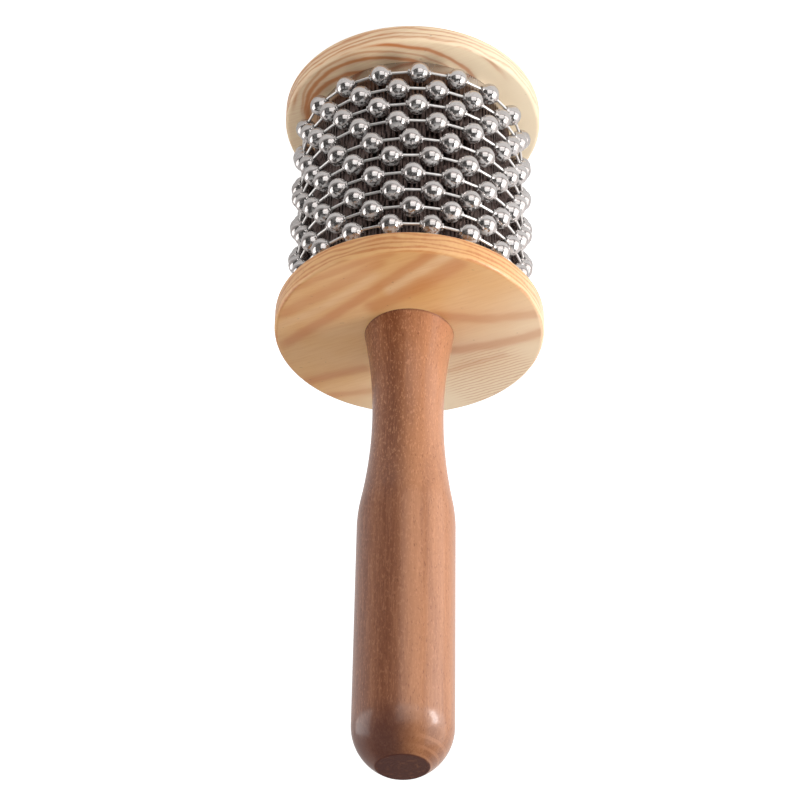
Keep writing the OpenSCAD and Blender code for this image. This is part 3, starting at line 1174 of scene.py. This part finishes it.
def pitch_tent(studio):
    """A dark tent round the set, which only reflections see: the room round the camera."""
    finish = Finish("dark_tent")
    _, (x, y, z) = finish.millimetres()
    wall = z.rise(CLOTH_START, CLOTH_END)
    cloth = finish.length(x, y).rise(studio.white_floor / MM, studio.dark_floor / MM).most(wall)
    # The far side, past the part as the camera sees it, is bright, and more so on the right
    away = math.cos(studio.elevation) * y - math.sin(studio.elevation) * z
    behind = (away * (MM / studio.tent)).rise(-0.2, 0.15) * (0.5 + 0.5 * (-x).rise(-600, 300))
    # The floor before the front lamp and before the key lamp, lit by each
    pools = 0
    for (lamp_x, lamp_y), glow in (((-0.25, -1), studio.front), ((-1, -0.3), studio.key)):
        ahead, beside = x * lamp_x + y * lamp_y, x * lamp_y - y * lamp_x
        wide = 1 - abs(beside / ahead.most(1)).rise(0.35, 0.55)
        pools = (1 - wall) * ahead.rise(POOL_START, POOL_END) * wide * (POOL_GLOW * glow) + pools
    black = finish.node("ShaderNodeEmission", None,
                        {"Color": TENT_TINT, "Strength": TENT_GLOW + behind + pools})
    clear = finish.node("ShaderNodeBsdfTransparent")
    finish.show(finish.node("ShaderNodeMixShader", None, {0: cloth, 1: clear, 2: black}))
    outline = [(studio.white_floor * 0.9, TENT_LIFT), (studio.tent, TENT_LIFT)]
    outline += arc((0, 0), studio.tent, 5, 90, TENT_STEPS)
    outline[-1] = (0, studio.tent)
    tent = turned("tent", outline, 4 * TENT_STEPS, finish.material)
    tent.visible_camera = tent.visible_diffuse = tent.visible_shadow = False
    tent.visible_transmission = tent.visible_volume_scatter = False


def light_world(studio):
    """White to the camera and to reflections, and a plain fill for everything else."""
    world = bpy.data.worlds.new("studio_world")
    world.use_nodes = True
    graph = Graph(world.node_tree)
    seen = graph.ray_is("Camera", "Glossy", "Transmission")
    sky = graph.node("ShaderNodeBackground", None,
                     {"Color": (1, 1, 1), "Strength": studio.fill + (1 - studio.fill) * seen})
    graph.add("ShaderNodeOutputWorld", None, {"Surface": sky})
    world.cycles.sampling_method = "NONE"
    bpy.context.scene.world = world


# Panel and registration

class CABASA_PT_panel(bpy.types.Panel):
    """The steps that make the cabasa, in order"""

    bl_label = "Cabasa"
    bl_idname = "CABASA_PT_panel"
    bl_space_type = "VIEW_3D"
    bl_region_type = "UI"
    bl_category = "Cabasa"

    def draw(self, context):
        for step in STEPS:
            self.layout.operator(step.bl_idname)


STEPS = (CABASA_OT_handle, CABASA_OT_discs, CABASA_OT_drum, CABASA_OT_fastening,
         CABASA_OT_chain, CABASA_OT_stage)
CLASSES = (TurningSettings, ChainSettings, ColourSettings, StudioSettings, CabasaSettings,
           *STEPS, CABASA_PT_panel)


def register():
    for made in CLASSES:
        bpy.utils.register_class(made)
    bpy.types.Scene.cabasa = PointerProperty(type=CabasaSettings)


def unregister():
    del bpy.types.Scene.cabasa
    for made in reversed(CLASSES):
        bpy.utils.unregister_class(made)


def main():
    """Make the cabasa and its stage."""
    register()
    bpy.ops.cabasa.turn_handle()
    bpy.ops.cabasa.turn_discs()
    bpy.ops.cabasa.finish_drum()
    bpy.ops.cabasa.finish_fastening()
    bpy.ops.cabasa.string_chain()
    bpy.ops.cabasa.set_stage()


if __name__ == "__main__":
    main()
